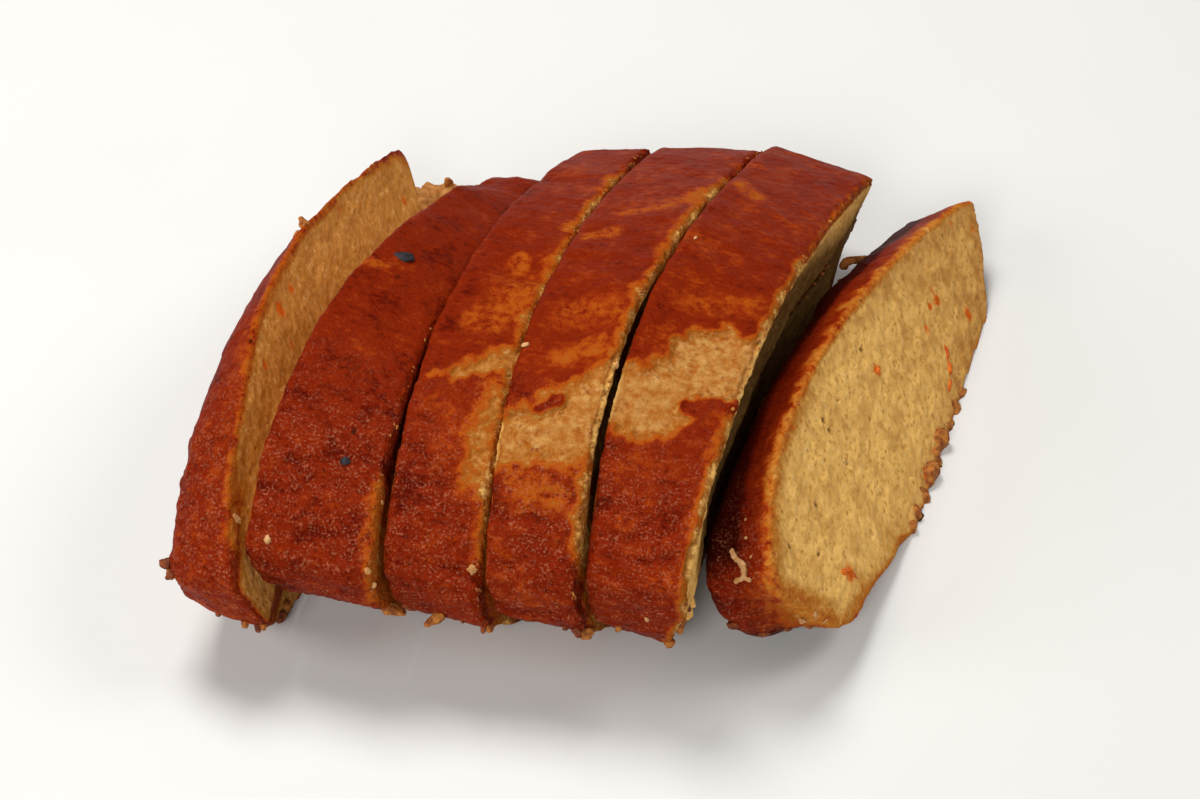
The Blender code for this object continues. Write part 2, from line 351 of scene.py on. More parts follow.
    # carrot stains, painted shade in the pits, and painted shade between the slices
    stain = noiseNode(tree, coords, (-900, -950), 0.8, 4)
    stain = mathNode(tree, "MULTIPLY_ADD", (-700, -950), stain, 0.8, fields["carrot"])
    skin = mixNode(tree, (-100, 50), rangeNode(tree, (-500, -950), stain, 0.55, 1.10), skin, c["carrot"])
    skin = mixNode(tree, (-50, 50), fields["pit"], skin, c["pit"])
    skin = mixNode(tree, (0, 200), fields["shade"], skin, c["shade"])
    tree.links.new(skin, shader.inputs["Base Color"])

    rough = rangeNode(tree, (-500, -200), open, 0.15, 0.6, 0.36, 0.82)
    patchy = noiseNode(tree, coords, (-700, -400), 1.2, 3)
    rough = mathNode(tree, "MULTIPLY_ADD", (-300, -200), patchy, 0.24, rough)
    rough = mathNode(tree, "SUBTRACT", (-200, -300), rough, 0.06)
    tree.links.new(rough, shader.inputs["Roughness"])

    # fine relief: a leathery net on the crust, open cells in the crumb
    leather = noiseNode(tree, across, (-900, -1150), 0.60, 5, 0.68)
    leather = mathNode(tree, "MULTIPLY_ADD", (-700, -1150), ridge, 0.5, leather)
    leather = mathNode(tree, "MULTIPLY_ADD", (-600, -1150), bubbles, -0.3, leather)
    cell = mathNode(tree, "MULTIPLY", (-800, -1400), fine, 0.9)
    cell = mathNode(tree, "MULTIPLY_ADD", (-700, -1300), cells, -0.35, cell)
    height = node(tree, "ShaderNodeMix", (-500, -1200), data_type="FLOAT")
    tree.links.new(inCrumb, height.inputs[0])
    tree.links.new(leather, height.inputs[2])
    tree.links.new(cell, height.inputs[3])
    bump = node(tree, "ShaderNodeBump", (-250, -900))
    bump.inputs["Strength"].default_value = 1.0
    bump.inputs["Distance"].default_value = 0.40 * mm
    tree.links.new(height.outputs[0], bump.inputs["Height"])
    tree.links.new(bump.outputs["Normal"], shader.inputs["Normal"])
    shader.inputs["Specular IOR Level"].default_value = 0.03
    shader.inputs["Specular Tint"].default_value = (1.0, 0.66, 0.48, 1)
    return material


# where the crust has come off, seen from above in mm: outline, how pale, how soft its edge
peels = {
    "slice_3": [([(-18.3, -25.7), (-13.1, -22.5), (-8.1, -18.7), (-6.5, -20.1), (-7.5, -22.7),
                  (-11.5, -24.5), (-15.3, -26.1)],
                 0.85, 1.8)],
    "slice_4": [([(-7.5, -31.9), (-3.9, -29.7), (-1.7, -27.5), (1.5, -26.9), (3.5, -23.9), (5.5, -20.4),
                  (7.1, -17.9), (10, -20), (10, -31), (7.1, -35.1), (4, -36.9), (-0.1, -36.3),
                  (-3.5, -37.9), (-8, -37)], 0.95, 2.2)],
    "slice_5": [([(7, -21.9), (11.9, -19.5), (13.1, -14.9), (15.1, -11.3), (19.7, -9.5), (21.7, -11.1),
                  (26.5, -8.7), (26.5, -21.7), (22.5, -22.5), (19.3, -23.3), (16.9, -24.9),
                  (18.1, -26.5), (15.5, -29.1), (12.5, -30.9), (9.5, -30.5), (6.5, -29.5)], 1.0, 1.8)],
}
# warmer or worn strokes: x, y to x, y, half width, how far gone, how soft
strokes = {
    "slice_1": [(-43, -52, -46.5, -20, 1.0, 0.14, 2.0)],
    "slice_2": [(-34.6, -8.9, -31.0, -7.9, 1.0, 0.30, 1.8), (-21.0, -44, -19.6, -53, 0.4, 0.22, 1.8),
                (-30.5, -40, -27.5, -20, 2.0, 0.08, 4)],
    "slice_3": [(-13.5, -15, -11.5, -6, 3.0, 0.24, 4.0), (-9.0, -28, -8.2, -39, 0.6, 0.62, 3.6),
                (-12.5, -3, -13.1, 0, 0.8, 0.30, 2.4), (-11.3, -8, -10.1, -12, 1.2, 0.32, 3.0),
                (-15.5, -30, -12.5, -38, 2.5, 0.14, 4)],
    "slice_4": [(-2.5, -14, 4.5, -12, 2.0, 0.22, 4.0), (-2.5, -40, 3.5, -41, 1.0, 0.30, 3.0),
                (-1.9, 15, 2.5, 17.9, 0.3, 0.28, 2.0), (2.5, 17.9, 6.1, 22.3, 0.7, 0.34, 2.6),
                (6.1, 22.3, 8.7, 26.5, 1.5, 0.38, 2.6), (-5.3, 6.4, -1.7, 8.2, 0.8, 0.28, 2.4),
                (-1.5, -22, 3.5, -19, 1.2, 0.32, 2.5)],
    "slice_5": [(12.5, 31.4, 15.8, 27.1, 0.8, 0.28, 2.2), (23.1, -24, 22.5, -40, 0.6, 0.34, 1.8),
                (13.5, -6, 21.5, -4, 2.0, 0.2, 3.5), (11.5, -34, 17.5, -33, 1.5, 0.14, 3),
                (22.9, -44.4, 23.4, -40.5, 0.6, 0.9, 1.4)],
    "slice_6": [(31.5, -40, 37, -37.5, 1.0, 0.24, 2.4), (36, -38, 42.5, -33, 1.8, 0.52, 2.0)],
}
# tongues of crust left standing in the peels
tongues = {
    "slice_5": [(23.7, -22.6, 17.5, -24.3, 1.0)],
    "slice_4": [(0.7, -28.7, -2.1, -30.5, 0.6)],
}
# right rims: from y, to y, width, how far gone
tornRims = {
    "slice_1": [(-54, 34, 1.2, 0.30)],
    "slice_2": [(-56, -42, 0.8, 0.38)],
    "slice_3": [(-48, 34, 1.6, 0.52)],
    "slice_4": [(-46, 34, 1.6, 0.54)],
    "slice_5": [(-50, 14, 0.8, 0.6), (14, 56, 0.6, 0.25)],
    "slice_6": [(-50, 60, 2.2, 0.40)],
}
# crust colour that reaches further down a right cut face, which on slices 2 to 4 is painted shade in the
# crevices between slices: from y, to y, lowest z, where it starts to fade, where it ends
deepRims = {
    "slice_1": [(-60, -44, 17, 1.0, 6.0)],
    "slice_2": [(-60, 60, 0, 1.5, 12.0)],
    "slice_3": [(-60, 60, 0, 1.5, 12.0)],
    "slice_4": [(-60, 60, 0, 1.5, 12.0)],
    "slice_6": [(-60, 60, 4, -2.4, 4.6), (-8, 60, -1, -0.6, 1.2)],
}
# how far the right cut faces draw back under their rims: mm, from y, to y
hollows = {
    "slice_2": (1.2, 60, 50),
    "slice_3": (1.4, 60, 50),
    "slice_4": (1.4, 60, 50),
    "slice_5": (2.6, 36, 8),
}
# painted shade on the crumb that lies in the dark below the right rims: how dark, from how deep, to how
# deep
shades = {
    "slice_2": (0.82, 1.8, 5.5),
    "slice_3": (0.82, 1.8, 5.5),
    "slice_4": (0.82, 1.8, 5.5),
    "slice_5": (0.82, 1.6, 6.5),
}
# darker or lighter crust, and thin darker lines along the left edges where slices meet: x, y to x, y, half
# width, how much darker, how soft
bakes = {
    "slice_1": [(-54, -36, -55, 40, 6.0, 0.85, 5), (-46, -56, -40, -56, 4.0, -0.5, 4)],
    "slice_2": [(-27, -60, -29, 60, 12, 0.35, 4)],
    "slice_3": [(-17.5, -45, -19, 40, 1.0, 0.5, 2), (-14, -56, -2, -55, 5.5, -0.3, 3)],
    "slice_4": [(-4, -54, 10, -53, 5.0, -0.3, 3), (-6.5, -45, -7, 0, 0.6, 0.3, 1.5)],
    "slice_5": [(10, -52, 22, -50, 5.0, -0.4, 3), (8, -45, 7, 0, 0.6, 0.3, 1.5)],
    "slice_6": [],
}
# painted shade on the last slice's crust, black where it leans into the gap: how much darker,
# from and to mm off its cut, from and to y
leaningShade = (1.2, 2.8, 6.0, -41, -35)
# how golden the last slice's crumb gets: towards its far end, and near its crust
toasts = (0.30, 0.22)
# carrot in the cut faces, in mm: x, y, z, half width, half length, how strong
carrots = {
    "slice_1": [(-45.6, -9.5, 28.0, 0.8, 1.0, 0.7), (-45.3, -14.7, 28.5, 1.1, 1.5, 0.8),
                (-43.6, -25.5, 27.9, 0.8, 1.1, 0.75), (-43.0, -16.7, 23.7, 0.7, 1.5, 0.5),
                (-43.6, 34.0, 9.9, 0.8, 1.2, 0.7), (-46.6, 14.2, 23.3, 0.7, 1.4, 0.4)],
    "slice_6": [(43.8, 32.4, 10.6, 0.9, 0.9, 1.0), (43.2, 29.8, 11.5, 0.7, 0.7, 0.8),
                (43.4, 25.5, 10.6, 0.8, 1.2, 0.6), (38.5, 8.2, 16.5, 0.8, 1.3, 0.7),
                (48.4, 37.9, 4.0, 0.9, 1.6, 0.8), (42.8, 32.7, 12.2, 0.6, 1.0, 0.5),
                (42.8, 48.2, 12.6, 0.7, 1.8, 0.4), (45.9, 53.0, 8.2, 0.8, 1.4, 0.5),
                (48.2, 3.9, 1.2, 1.2, 1.6, 0.9), (41.6, -25.4, 9.0, 1.3, 1.3, 0.7),
                (48.0, 8.9, 1.1, 1.0, 1.0, 0.6), (30.6, -16.7, 26.5, 0.5, 1.3, 0.5)],
}
# single holes in the cut faces, painted black as shade: x, y, z, radius, how black
pits = {
    "slice_1": [(-45.3, -24.9, 32.1, 0.5, 0.8)],
    "slice_2": [(-28.5, -9.3, 34.4, 0.4, 0.8), (-25.7, -37.5, 31.2, 0.3, 0.8)],
    "slice_6": [(35.6, -22.4, 18.3, 0.42, 1.0), (34.0, -32.4, 19.7, 0.36, 0.8),
                (36.1, 7.9, 20.2, 0.4, 0.6), (33.9, -9.7, 22.0, 0.6, 0.45),
                (34.9, -9.9, 20.5, 0.5, 0.5), (37.9, -11.0, 15.8, 0.36, 0.7),
                (37.5, -28.5, 14.8, 0.45, 0.5), (34.9, -4.1, 21.0, 0.3, 0.4),
                (39.3, -0.4, 14.6, 0.35, 0.4)],
}

sliceLook = {
    "voxel": 0.35,        # mm
    "roundings": 9,       # passes that soften the facets
    "thicker": 0.3,       # mm, at the first slice's thin end
    "skin": (0.1, 1.5),   # mm of crust colour that shows round a cut face
    "bulge": 1.8,         # mm, the last slice's near left side
    "pitDepth": 0.7,      # mm
    "peelDepth": 0.5,     # mm that the peeled places lie lower
    "wrinkle": 0.35,      # mm, how deep the folds are
    # relief: mm high, mm across, contrast
    "wave": (0.6, 5.0),   # broad waves of the crust
    "grain": (0.16, 0.9),
    "bubble": (0.28, 1.3, 1.5),   # at the near ends
    "cells": (0.24, 1.3),         # of the crumb
    "holes": (0.30, 2.0, 1.5),    # larger ones in it
    # the torn rims: mm across and contrast, and mm high on each slice
    "torn": (0.8, 1.6),
    "crumble": {"slice_1": 0.2, "slice_2": 0.5, "slice_3": 0.6,
                "slice_4": 0.6, "slice_5": 0.6, "slice_6": 0.3},
    "near": (-26, -42),   # y in mm where the near ends turn rough, from and to
    "tip": (44, 30),      # y in mm where the first slice's thin end stays smooth, from and to
}


def sideTrees(piece, heel):
    # crust, left cut and right cut of the CAD slice, told apart by where their faces look
    points = [v.co.copy() for v in piece.data.vertices]
    faces = list(piece.data.polygons)
    cuts = {}
    for side, way in (("right", 1), ("left", -1)):
        looking = [face for face in faces if face.normal.x * way > 0.6]
        cuts[side] = sum((face.normal * face.area for face in looking), Vector()).normalized()
    sides = {"crust": [], "left": [], "right": []}
    for face in faces:
        side = next((name for name, look in cuts.items() if face.normal.dot(look) > 0.93), "crust")
        sides["crust" if heel and side == "left" else side].append(tuple(face.vertices))
    sides["upper"] = [tuple(face.vertices) for face in faces
                      if face.normal.z > -0.1 and abs(face.normal.x) < 0.6]
    del sides["left"]     # it was only to be told apart from the crust
    return {side: BVHTree.FromPolygons(points, found) for side, found in sides.items()}


def awayFrom(tree, points):
    return np.array([tree.find_nearest(Vector(p))[3] for p in points]) / mm


def bareOnCrust(name, points, right, seed):
    wobble = cloudOn(points, 3.0, seed)
    small = cloudOn(points, 1.2, seed + 1)
    bare = np.zeros(len(points))
    for outline, pale, soft in peels.get(name, ()):
        depth = insideOutline(points, outline) + wobble * 1.3 + small * 0.8
        bare = np.maximum(bare, pale * ease(depth, -soft, soft))
    for x1, y1, x2, y2, half, gone, soft in strokes[name]:
        away = fromLine(points, x1, y1, x2, y2) + wobble * 1.2 + small * 0.5
        bare = np.maximum(bare, gone * (1 + 0.5 * small) * ease(away, half + soft, max(half - soft, 0)))
    sunk = bare
    for y1, y2, width, gone in tornRims[name]:
        along = between(points[:, 1] / mm, y1, y2, 2)
        edge = width * np.clip(1 + 1.3 * wobble, 0.2, 2)
        bare = np.maximum(bare, gone * (1 + 0.6 * wobble) * along * ease(right, edge + 1.4, 0) ** 1.5)
    for x1, y1, x2, y2, half in tongues.get(name, ()):
        away = fromLine(points, x1, y1, x2, y2) + small * 0.6
        bare = bare * ease(away, half * 0.4, half + 0.9)
        sunk = sunk * ease(away, half * 0.4, half + 0.9)
    return bare, ease(sunk, 0.3, 0.8)


def spotField(points, spots, reach, full):
    # strength of round spots, each x, y, z, half width, half length, strength
    field = np.zeros(len(points))
    for x, y, z, half, length, strong in spots:
        gap = (points - np.array((x, y, z)) * mm) / mm / np.array((half, half, length))
        field = np.maximum(field, strong * ease(np.linalg.norm(gap, axis=1), reach, full))
    return field


def dressSlice(name, material, seed):
    look = sliceLook
    piece = bpy.data.objects.new(name + "Bread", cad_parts[name].data.copy())
    bpy.context.collection.objects.link(piece)
    pick(piece)
    bpy.ops.object.mode_set(mode="EDIT")
    bpy.ops.mesh.select_all(action="SELECT")
    bpy.ops.mesh.remove_doubles(threshold=0.00001)
    bpy.ops.object.mode_set(mode="OBJECT")
    trees = sideTrees(piece, name == "slice_1")
    if name == "slice_1":
        # its thin far end is made a little thicker, so that it stays whole
        addGroup(piece, "thin", ease(pointsOf(piece)[:, 1] / mm, 30, 46))
        shift(piece, "thin", look["thicker"])

    applyModifier(piece, "REMESH", mode="VOXEL", voxel_size=look["voxel"] * mm)
    points = pointsOf(piece)
    x, y, z = (points / mm).T
    crust = awayFrom(trees["crust"], points)
    right = awayFrom(trees["right"], points)
    thick = 1 + 0.5 * cloudOn(points, 6.0, seed + 5)
    start, end = look["skin"]
    bare = ease(crust, start, end * thick)
    # on slices 2 to 4 this paints the shade of the crevices in crust colour
    for y1, y2, lowest, start, end in deepRims.get(name, ()):
        along = between(y, y1, y2, 3) * ease(z, lowest - 2, lowest + 2) * (right < 0.6)
        bare = bare * (1 - along) + along * ease(crust, start, end * thick)
    onCrust, sunken = bareOnCrust(name, points, right, seed)
    bare = np.maximum(bare, onCrust)
    if name == "slice_1":
        # the heel's crust is whole away from its cut
        bare = bare * ease(right, 5, 3)
    bakeAndShade = sum(much * ease(fromLine(points, x1, y1, x2, y2), half + soft, max(half - soft, 0))
               for x1, y1, x2, y2, half, much, soft in bakes[name])
    bakeAndShade = bakeAndShade * np.ones(len(points))
    toast = np.zeros(len(points))
    if name == "slice_6":
        darker, start, end, near, far = leaningShade
        # painted shade: the last slice's crust darkens to black where it leans into the gap
        bakeAndShade = bakeAndShade + darker * ease(right, start, end) * ease(y, near, far)
        toast = toasts[0] * ease(y, 2, 46) + toasts[1] * ease(crust, 5, 1.5)
    wrinkle = 0.5 + cloudOn(points * (0.35, 1, 1), 1.9, seed + 8)
    front = ease(y, *look["near"])
    calm = ease(y, *look["tip"]) if name == "slice_1" else np.ones(len(points))
    onlySkin = 1 - ease(bare, 0.1, 0.5)
    darkest, start, end = shades.get(name, (0, 1, 2))
    deepest, far, near = hollows.get(name, (0, 1, 0))
    below = np.zeros(len(points))
    if darkest:
        onCut = right < 0.8
        below[onCut] = awayFrom(trees["upper"], points[onCut])

    applyModifier(piece, "SMOOTH", factor=0.5, iterations=look["roundings"])
    holes = [(*spot[:4], *spot[3:]) for spot in pits.get(name, ())]
    pit = spotField(points, holes, 1.25, 0.45)
    # what the material reads
    addField(piece, "bare", bare)
    addField(piece, "bakeAndShade", bakeAndShade)
    # painted shade in the crust's folds
    addField(piece, "fold", ease(wrinkle, 0.45, 0.9) * ease(y, 10, -40) * onlySkin)
    # painted shade on the crumb below the right rims, in the gaps between slices
    addField(piece, "shade", darkest * ease(below, start, end) * ease(y, 60, 50) * ease(y, -44, -38))
    addField(piece, "toast", toast)
    lit = {"slice_1": ease(right, 0.6, 0.2) * ease(crust, 0, 0.7), "slice_6": ease(right, 3.4, 1.2)}
    addField(piece, "cut", lit.get(name, np.zeros(len(points))))
    # where painted glints and painted shade in the crust's bubbles show: most at the near ends
    addField(piece, "paintedSpecks", 0.06 + 0.94 * ease(y + 5 * cloudOn(points, 9.0, seed + 9), -20, -42))
    # painted shade in the single holes
    addField(piece, "pit", pit)
    addField(piece, "carrot", spotField(points, carrots.get(name, ()), 1.7, 0.3))
    addField(piece, "peeled", ease(crust, 1.4, 0.1))

    # where the modifiers work
    addGroup(piece, "skin", calm * onlySkin)
    addGroup(piece, "open", calm * ease(bare, 0.4, 0.95))
    addGroup(piece, "rim", calm * ease(right, 1.3, 0.2) * ease(crust, 1.3, 0.2) * ease(z, 4, 10))
    addGroup(piece, "peeled", ease(crust, 0.35, 0.15) * sunken)
    addGroup(piece, "wrinkle", wrinkle * front * onlySkin)
    addGroup(piece, "pit", pit > 0.3)
    addGroup(piece, "front", front * onlySkin)
    addGroup(piece, "hollow", ease(below, 0.9, 4.0) * ease(y, far, near) * ease(y, -44, -24))
    addGroup(piece, "tip", 1 - calm)
    if name == "slice_6":
        # its near left side is fuller than the solid's
        addGroup(piece, "bulge", ease(right, 3.5, 9) * ease(y, 6, -10) * ease(y, -44, -37) * ease(z, 1, 5))
        shift(piece, "bulge", look["bulge"])

    applyModifier(piece, "SMOOTH", vertex_group="tip", factor=0.5, iterations=24)
    if deepest:
        shift(piece, "hollow", -deepest)
    shift(piece, "peeled", -look["peelDepth"])
    shift(piece, "pit", -look["pitDepth"])
    shift(piece, "wrinkle", -look["wrinkle"])
    roughen(piece, "skin", "CLOUDS", *look["wave"])
    roughen(piece, "skin", "CLOUDS", *look["grain"])
    roughen(piece, "front", "CLOUDS", *look["bubble"])
    roughen(piece, "rim", "CLOUDS", look["crumble"][name], *look["torn"])

    # painted shade: the holes that the crumb's relief makes are painted dark inside
    before = pointsOf(piece)
    roughen(piece, "open", "VORONOI", *look["cells"])
    roughen(piece, "open", "CLOUDS", *look["holes"])
    moved = pointsOf(piece) - before
    normals = np.empty(len(points) * 3)
    piece.data.vertices.foreach_get("normal", normals)
    sunk = -(moved * normals.reshape(-1, 3)).sum(axis=1) / mm
    addField(piece, "pore", ease(sunk, 0.08, 0.26) * 0.7)

    restOnFloor(piece)
    piece.data.materials.clear()
    piece.data.materials.append(material)
    pick(piece)
    bpy.ops.object.shade_smooth()
    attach(piece, "root")
    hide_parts(name)
    print(name, "dressed,", len(piece.data.polygons) * 2, "triangles")
    rim = points[(right < 0.5) & (crust < 0.5) & (points[:, 2] > 14 * mm)]
    return piece, rim


loafCrumb = breadMaterial("loafBread", breadColours["crumb"])
heelCrumb = breadMaterial("heelBread", breadColours["heelCrumb"])
slices, rims = {}, {}
for at, name in enumerate(sorted(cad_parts)):
    slices[name], rims[name] = dressSlice(name, heelCrumb if name == "slice_1" else loafCrumb, 10 * at)


# loose crumbs and torn bits
bitColours = {
    "pale": ((0.56, 0.30, 0.13), (0.40, 0.17, 0.045)),
    "golden": ((0.42, 0.15, 0.022), (0.20, 0.045, 0.006)),
    "brown": ((0.24, 0.055, 0.010), (0.09, 0.014, 0.003)),
    "tan": ((0.42, 0.185, 0.042), (0.30, 0.100, 0.014)),
    "char": ((0.020, 0.017, 0.022), (0.008, 0.006, 0.008)),
    "carrot": ((0.70, 0.17, 0.008), (0.50, 0.065, 0.004)),
}


def bitMaterial(name):
    light, dark = bitColours[name]
    material, tree, shader = newMaterial(name + "Bits", 0.7)
    coords = node(tree, "ShaderNodeTexCoord", (-900, 0)).outputs["Object"]
    grain = noiseNode(tree, coords, (-700, 0), 0.9, 5)
    tone = rampNode(tree, (-400, 0), grain, ((0.40, dark), (0.60, light)))
    tree.links.new(tone, shader.inputs["Base Color"])
    bump = node(tree, "ShaderNodeBump", (-250, -300))
    bump.inputs["Strength"].default_value = 0.6
    bump.inputs["Distance"].default_value = 0.15 * mm
    tree.links.new(noiseNode(tree, coords, (-700, -300), 0.3, 3), bump.inputs["Height"])
    tree.links.new(bump.outputs["Normal"], shader.inputs["Normal"])
    shader.inputs["Specular IOR Level"].default_value = 0.25
    return material


def crumbSeed(seed, cuts, lumps):
    # a knobbly crumb about 1 mm across
    bpy.ops.object.select_all(action="DESELECT")
    bpy.ops.mesh.primitive_ico_sphere_add(subdivisions=cuts, radius=0.5 * mm,
                                          location=(seed * 0.02, 0, 0.5))
    crumb = bpy.context.object
    bpy.ops.object.transform_apply(location=True)
    applyModifier(crumb, "DISPLACE", texture=bumps("lumps", "CLOUDS", 0.45, 1.4),
                  strength=lumps * mm, mid_level=0.45, texture_coords="LOCAL")
    crumb.data.transform(Matrix.Translation((-seed * 0.02, 0, -0.5)))
    return crumb


def shardSeed(seed):
    # a ragged tooth, 1 mm wide and 1 mm long, that grows along z
    bpy.ops.object.select_all(action="DESELECT")
    bpy.ops.mesh.primitive_cone_add(vertices=10, radius1=0.5 * mm, radius2=0.24 * mm, depth=1.0 * mm,
                                    location=(seed * 0.02, 0.1, 0.5))
    shard = bpy.context.object
    bpy.ops.object.transform_apply(location=True)
    bpy.ops.object.mode_set(mode="EDIT")
    bpy.ops.mesh.select_all(action="SELECT")
    bpy.ops.mesh.subdivide(number_cuts=3, smoothness=0.6)
    bpy.ops.object.mode_set(mode="OBJECT")
    applyModifier(shard, "DISPLACE", texture=bumps("ragged", "CLOUDS", 0.35, 1.6),
                  strength=0.4 * mm, mid_level=0.5, texture_coords="LOCAL")
    shard.data.transform(Matrix.Translation((-seed * 0.02, -0.1, -0.5 + 0.5 * mm)))
    return shard


def layBits(name, seeds, places, material, melt=None):
    # copies of the seeds, each with its own mesh, joined into one piece, and fused at melt mm where that
    # is given
    laid = []
    for place, size, turn in places:
        bit = random.choice(seeds).copy()
        bit.data = bit.data.copy()
        bpy.context.collection.objects.link(bit)
        bit.data.transform(Matrix.LocRotScale(Vector(place), Euler(turn), Vector(size)))
        laid.append(bit)
    bpy.ops.object.select_all(action="DESELECT")
    for bit in laid:
        bit.select_set(True)
    bpy.context.view_layer.objects.active = laid[0]
    bpy.ops.object.join()
    piece = bpy.context.object
    piece.name = name
    if melt:
        applyModifier(piece, "REMESH", mode="VOXEL", voxel_size=melt * mm)
        applyModifier(piece, "SMOOTH", factor=0.5, iterations=4)
        applyModifier(piece, "DISPLACE", texture=bumps("melted", "CLOUDS", melt * 4, 1.0),
                      strength=melt * 1.5 * mm, mid_level=0.5)
        addField(piece, "bare", np.ones(len(piece.data.vertices)))
    restOnFloor(piece)
    piece.data.materials.clear()
    piece.data.materials.append(material)
    pick(piece)
    bpy.ops.object.shade_smooth()
    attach(piece, "root")
    print(name, "laid,", len(laid), "bits")


def anyTurn():
    return [random.uniform(0, 6.3) for _ in range(3)]


def onBread(x, y, z, sink=0.0):
    # the nearest place on the slices, and which way is out there
    spot = Vector((x, y, z)) * mm
    found = min((tree.find_nearest(spot) for tree in breadTrees), key=lambda hit: hit[3])
    return found[0] - found[1] * sink * mm, found[1]


depsgraph = bpy.context.evaluated_depsgraph_get()
breadTrees = [BVHTree.FromObject(piece, depsgraph) for piece in slices.values()]
seeds = [crumbSeed(at, 3, 0.5) for at in range(4)]
tinySeeds = [crumbSeed(at + 5, 2, 0.6) for at in range(4)]
shards = [shardSeed(at) for at in range(4)]
bits = {name: bitMaterial(name) for name in bitColours}

# crumbs that lie on the crust: x, y, z, width, length in mm
looseCrumbs = [(-40.7, -49.4, 21.3, 0.9, 1.8), (-33.8, -51.6, 21.9, 0.9, 1.1),
               (-39.4, -50.0, 17.3, 0.4, 1.3), (-19.5, -52.5, 20.7, 0.8, 1.0),
               (-20.3, -44.3, 25.6, 0.5, 0.8), (-18.6, -52.8, 18.4, 0.8, 0.8),
               (-6.0, -48.5, 20.6, 0.9, 1.3), (17.7, -46.8, 15.4, 0.6, 1.2),
               (-6.5, -20.3, 36.2, 0.7, 1.1), (10.4, 9.2, 34.9, 0.4, 0.8), (7.2, -21.2, 36.5, 0.7, 1.1),
               (27.4, -31.4, 22.2, 0.35, 0.4), (28.1, -34.1, 21.5, 0.4, 0.4),
               (29.3, -36.6, 20.7, 0.3, 0.5), (38.9, -36.4, 11.2, 0.5, 1.6),
               (40.0, -35.4, 9.4, 0.5, 1.4), (37.2, -37.0, 9.6, 0.9, 1.2)]
places = []
for x, y, z, width, length in looseCrumbs:
    spot, out = onBread(x, y, z, -0.15 * width)
    places.append((spot, (width, length, width * 0.8), out.to_track_quat("Z", "Y").to_euler()[:]))
    if width > 0.8:
        side = Vector((random.uniform(-1, 1), random.uniform(-1, 1), 0)) * width * 0.5 * mm
        places.append((spot + side, (width * 0.6, width * 0.7, width * 0.5), anyTurn()))
layBits("looseCrumbs", seeds, places, bits["pale"])

# a curl of crumb on the last slice's crust: x, y, z, thickness, laid close and fused
curl = [(26.6, -35.8, 19.3, 0.8), (26.9, -36.1, 19.4, 0.85), (27.3, -36.4, 19.4, 0.8),
        (27.8, -36.7, 19.5, 0.85), (28.2, -37.1, 19.5, 0.9), (28.6, -37.4, 19.4, 0.9),
        (28.9, -37.8, 19.3, 0.95), (29.1, -38.1, 19.0, 0.9), (29.2, -38.4, 18.7, 0.85),
        (28.8, -38.6, 18.2, 0.7), (28.4, -38.7, 17.9, 0.75), (28.1, -38.7, 17.7, 0.7),
        (29.6, -38.7, 18.6, 0.6), (30.0, -38.8, 18.7, 0.7)]
places = []
for x, y, z, size in curl:
    spot, out = onBread(x, y, z, -0.3)
    places.append((spot, (size, size, size * 0.9), anyTurn()))
layBits("crumbCurl", tinySeeds, places, bits["pale"], 0.13)

# torn flakes along the rims
fuzz = {
    "slice_2": 30,
    "slice_3": 80,
    "slice_4": 80,
    "slice_5": 45,
    "slice_6": 12,
}
places = []
for name, many in fuzz.items():
    for spot in random.sample(list(rims[name]), many):
        size = random.uniform(0.3, 0.75)
        where, out = onBread(*(spot / mm), 0.05)
        flake = (size, size * random.uniform(0.5, 1.0), size * random.uniform(0.3, 0.6))
        places.append((where, flake, anyTurn()))
layBits("rimFlakes", tinySeeds, places, bits["golden"])

# charred flecks: x, y, z, width, length, height
flecks = [(-29.5, -4.9, 34.1, 3.2, 1.8, 0.9), (-25.7, -41.6, 29.5, 1.3, 1.5, 0.6)]
places = []
for x, y, z, width, length, height in flecks:
    spot, out = onBread(x, y, z, 0.05)
    places.append((spot, (width, length, height), (0, 0, 0.1)))
layBits("charredFlecks", seeds, places, bits["char"])

# carrot shreds that stand out of the last slice: from x, y, z to x, y, z, width
shreds = [(46.2, 27.1, 6.5, 47.2, 25.6, 4.8, 1.2), (47.2, 25.6, 4.8, 47.9, 23.6, 3.4, 1.4),
          (47.9, 23.6, 3.4, 48.3, 20.6, 2.6, 1.1), (38.3, 9.2, 16.9, 38.7, 7.4, 16.2, 1.2),
          (40.7, -26.7, 10.3, 41.4, -24.9, 9.4, 1.3), (41.4, -24.9, 9.4, 42.8, -24.7, 7.2, 1.2),
          (43.9, 32.6, 10.6, 43.2, 30.4, 11.3, 0.7), (48.0, 4.8, 1.4, 48.3, 2.6, 1.0, 0.9)]
places = []
for x1, y1, z1, x2, y2, z2, width in shreds:
    along = Vector((x2 - x1, y2 - y1, z2 - z1))
    spot, out = onBread((x1 + x2) / 2, (y1 + y2) / 2, (z1 + z2) / 2, 0.3)
    shred = (width, width * 0.6, along.length * 1.15)
    places.append((spot, shred, along.to_track_quat("Z", "Y").to_euler()[:]))
layBits("carrotShreds", seeds, places, bits["carrot"])

